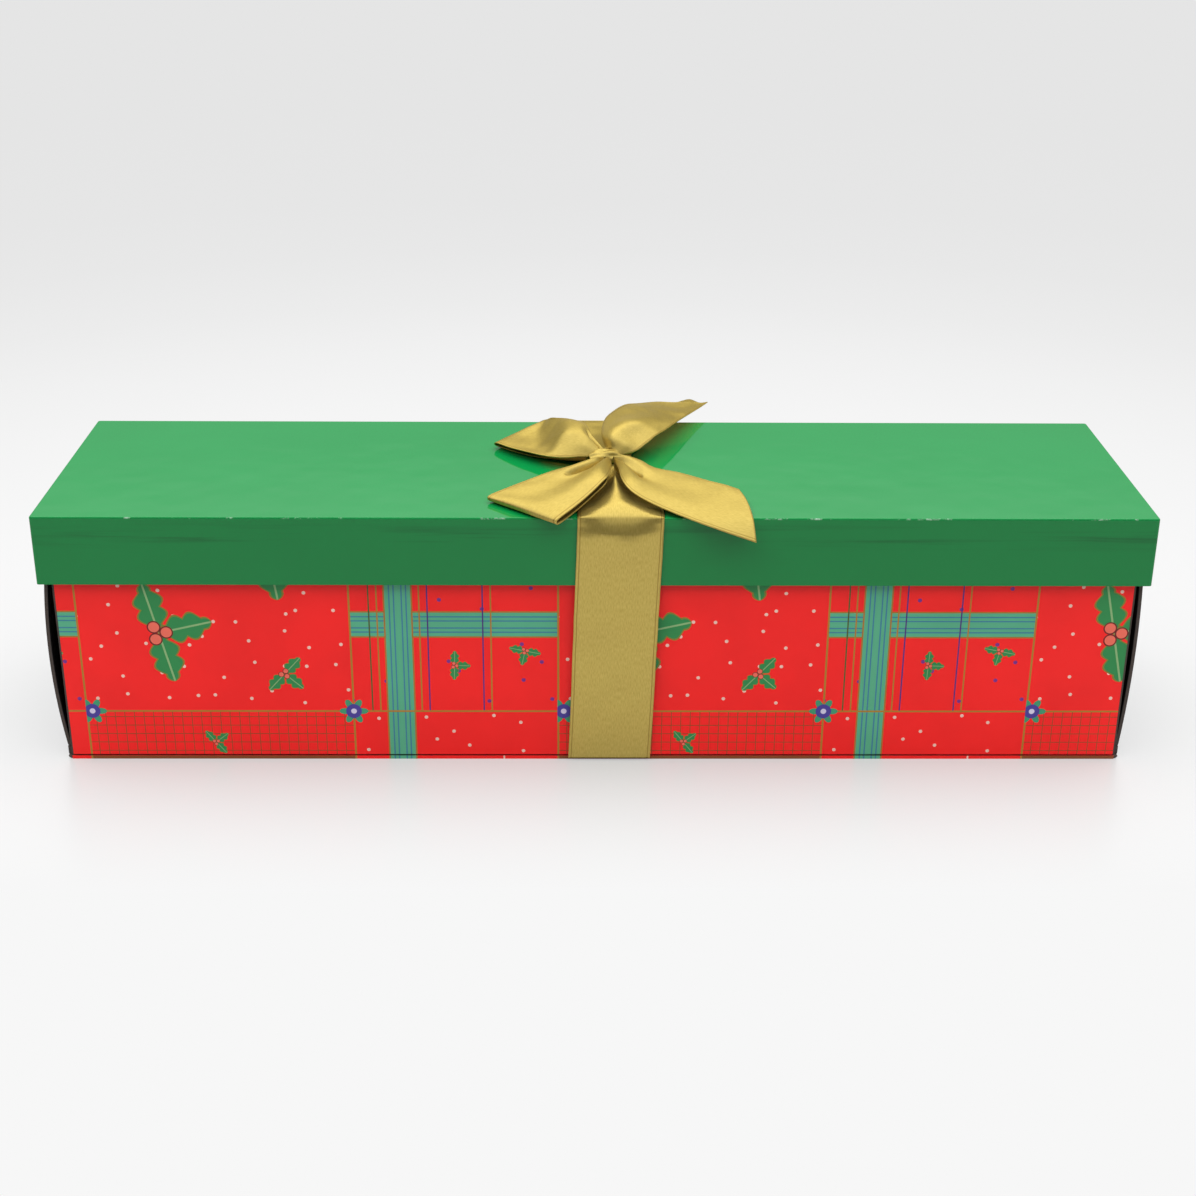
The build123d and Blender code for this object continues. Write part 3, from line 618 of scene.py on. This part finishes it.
def dress_ribbon():
    """All the ribbon's pieces in their places."""
    front_band, length = ribbon_surface("ribbon_front_band", front_band_ribs, along=128, across=36)
    settle(front_band, ["ribbon_front_drop", "ribbon_top_front"])
    back_band, length = ribbon_surface("ribbon_back_band", back_band_ribs, along=96, across=24)
    settle(back_band, ["ribbon_back_drop", "ribbon_top_back"])
    pleats = [((0.0, 0.72), (0.13, 0.86), 3.0, 2.4)]
    back_loop, length = ribbon_surface("bow_back_left_loop", back_loop_ribs, 130, 40, pleats)
    settle(back_loop, ["bow_loop_back_left"])
    pleats = [((0.02, 0.54), (0.25, 0.32), 1.2, 5.2)]
    front_loop, length = ribbon_surface("bow_front_left_loop", front_loop_ribs, 150, 56, pleats)
    settle(front_loop, ["bow_loop_front_left"])
    pleats = [((0.02, 0.62), (0.36, 0.5), 1.2, 5.2)]
    front_tail, length = ribbon_surface("bow_front_right_tail", front_tail_ribs, 100, 56, pleats)
    settle(front_tail, ["bow_tail_front_right"])
    back_tail, length = ribbon_surface("bow_back_right_tail", back_tail_ribs)
    settle(back_tail, ["bow_tail_back_right"])
    settle(knot_surface(), ["bow_knot"])


def dress_box():
    """Gives every solid of the box its material."""
    finishes = {
        "black_paper": black_paper(),
        "green_gloss_paper": gloss_paper(),
        "black_faced_board": board("black_faced_board", "#4a413c"),
        "lid_board": board("lid_board", "#8a8378"),
    }
    prints = {
        "front_wall_cover": printed_paper("printed_paper_front", (1, 0, 0), (0, 0, 1), 12.0, 0.0),
        "back_wall_cover": printed_paper("printed_paper_back", (-1, 0, 0), (0, 0, 1), 60.0, 0.0),
        "bottom_cover": printed_paper("printed_paper_bottom", (1, 0, 0), (0, -1, 0), 12.0, -43.0),
        "back_spine_cover": printed_paper("printed_paper_spine", (-1, 0, 0), (0, 0, 1), 60.0, 0.0),
    }
    for part in frame["record"]["subparts"]:
        name, finish = part["node"], part["material_slot"]
        if finish == "satin_ribbon":
            continue
        node = frame["nodes"][name]
        node.data.materials.clear()
        node.data.materials.append(prints.get(name) or finishes[finish])


def seen_directly(tree):
    """1 for the camera's rays and those that come by way of a mirror or glass, 0 for the rest."""
    rays = add(tree, "LightPath").node.outputs
    seen = add(tree, "Math", (rays["Is Camera Ray"], rays["Is Glossy Ray"]), operation="ADD")
    return add(tree, "Math", (seen, rays["Is Transmission Ray"]), operation="ADD", use_clamp=True)


def make_floor():
    """Glossy white table top that keeps the box's shadow and fades to a light grey backdrop behind."""
    material, tree = new_material("floor")
    place = add(tree, "TexCoord", output=3)
    reach = add(tree, "VectorMath", (place, (0.0, -0.1, 0.0)), output=1, operation="DISTANCE")
    shades = add(tree, "ValToRGB", (add(tree, "MapRange", (reach, 0.3, 1.3, 0.0, 1.0)),))
    ramp = shades.node.color_ramp
    ramp.elements[0].color = colour("#f7f7f7")
    ramp.elements[1].color = colour("#e5e5e5")
    for share, code in (
        (0.06, "#f6f6f6"), (0.14, "#f4f4f4"), (0.22, "#f1f1f1"),
        (0.32, "#ececec"), (0.45, "#e8e8e8"), (0.6, "#e6e6e6"),
    ):
        ramp.elements.new(share).color = colour(code)
    plain = add(tree, "BsdfPrincipled", {"Base Color": colour("#bababa"), "Roughness": 0.3, "IOR": 2.0})
    shown = add(tree, "Emission", {"Color": shades})
    fade = add(tree, "MapRange", (reach, 0.1, 0.55, 0.35, 1.0), interpolation_type="SMOOTHSTEP")
    # In front of the box the floor clears again within 75 mm
    ahead = add(tree, "SeparateXYZ", (place,), output=1)
    ahead = add(tree, "MapRange", (ahead, -0.045, -0.12, 0.42, 1.0))
    fade = add(tree, "Math", (fade, ahead), operation="MAXIMUM")
    fade = both(tree, fade, seen_directly(tree))
    surface(tree, add(tree, "MixShader", (fade, plain, shown)))
    mesh = bpy.data.meshes.new("floor")
    half, near = 8.0, -0.5
    corners = [(-half, near, 0), (half, near, 0), (half, half, 0), (-half, half, 0)]
    mesh.from_pydata(corners, [], [(0, 1, 2, 3)])
    mesh.materials.append(material)
    floor = bpy.data.objects.new("floor", mesh)
    bpy.context.scene.collection.objects.link(floor)


def make_light():
    """Pale room with one large soft lamp above and a faint one behind."""
    world = bpy.data.worlds.new("pale_room")
    bpy.context.scene.world = world
    world.use_nodes = True
    tree = world.node_tree
    tree.nodes.clear()
    towards = add(tree, "SeparateXYZ", (add(tree, "TexCoord", output=0),)).node.outputs
    heights = add(tree, "ValToRGB", (add(tree, "MapRange", (towards[2], 0.1, 0.75, 0.0, 1.0)),))
    ramp = heights.node.color_ramp
    ramp.elements[0].color = (0.2, 0.2, 0.2, 1.0)
    ramp.elements[1].color = (0.92, 0.92, 0.92, 1.0)
    for share, grey in ((0.25, 0.26), (0.35, 0.31), (0.43, 0.54), (0.56, 0.86)):
        ramp.elements.new(share).color = (grey, grey, grey, 1.0)
    # The room is darker off to the sides and behind the camera
    aside = add(tree, "Math", (towards[0],), operation="ABSOLUTE")
    aside = add(tree, "MapRange", (aside, 0.35, 0.85, 2.0, 1.2))
    near = add(tree, "MapRange", (towards[1], -0.3, 0.3, 0.4, 1.0))
    strength = both(tree, heights, both(tree, aside, near))
    # Where the camera looks past the table it sees a plain pale backdrop
    backdrop = 0.78
    camera_ray = add(tree, "LightPath")
    strength = add(tree, "Mix", {0: camera_ray, 2: strength, 3: backdrop}, data_type="FLOAT")
    add(tree, "OutputWorld", {"Surface": add(tree, "Background", {"Strength": strength})})
    ceiling = make_lamp("ceiling", (0.0, -0.1, 1.55), (4.0, 3.0), 75.0)
    # Satin and film mirror only the room, in which this lamp would be a hard white patch
    ceiling.visible_glossy = False
    # Faint lamp behind the box, whose blurred reflection brightens the satin's folds
    make_lamp("back_sheen", (0.0, 1.1, 1.0), (1.2, 0.5), 1.5)


def make_lamp(name, place, size, power):
    """Rectangular lamp aimed at the lid, its place and size in metres and its power in watts."""
    lamp = bpy.data.lights.new(name, "AREA")
    lamp.shape = "RECTANGLE"
    lamp.size, lamp.size_y = size
    lamp.energy = power
    holder = bpy.data.objects.new(name, lamp)
    holder.location = place
    holder.visible_camera = False
    aim = Vector(lamp_target) - holder.location
    holder.rotation_euler = aim.to_track_quat("-Z", "Y").to_euler()
    bpy.context.scene.collection.objects.link(holder)
    return holder


def make_camera():
    """Camera at the photograph's place."""
    camera = bpy.data.objects.new("camera", bpy.data.cameras.new("camera"))
    camera.data.lens = camera_lens
    camera.data.sensor_width = 36.0
    camera.data.clip_start = 0.01
    camera.data.clip_end = 30.0
    turn = Matrix.Rotation(math.radians(camera_yaw), 4, "Z")
    tilt = Matrix.Rotation(math.radians(90 - camera_pitch), 4, "X")
    roll = Matrix.Rotation(math.radians(camera_roll), 4, "Z")
    place = Matrix.Translation(Vector(camera_place) * mm)
    camera.matrix_world = place @ turn @ tilt @ roll
    bpy.context.scene.collection.objects.link(camera)
    bpy.context.scene.camera = camera


dress_ribbon()
dress_box()
make_floor()
make_light()
make_camera()
bpy.context.scene.view_settings.view_transform = "Standard"
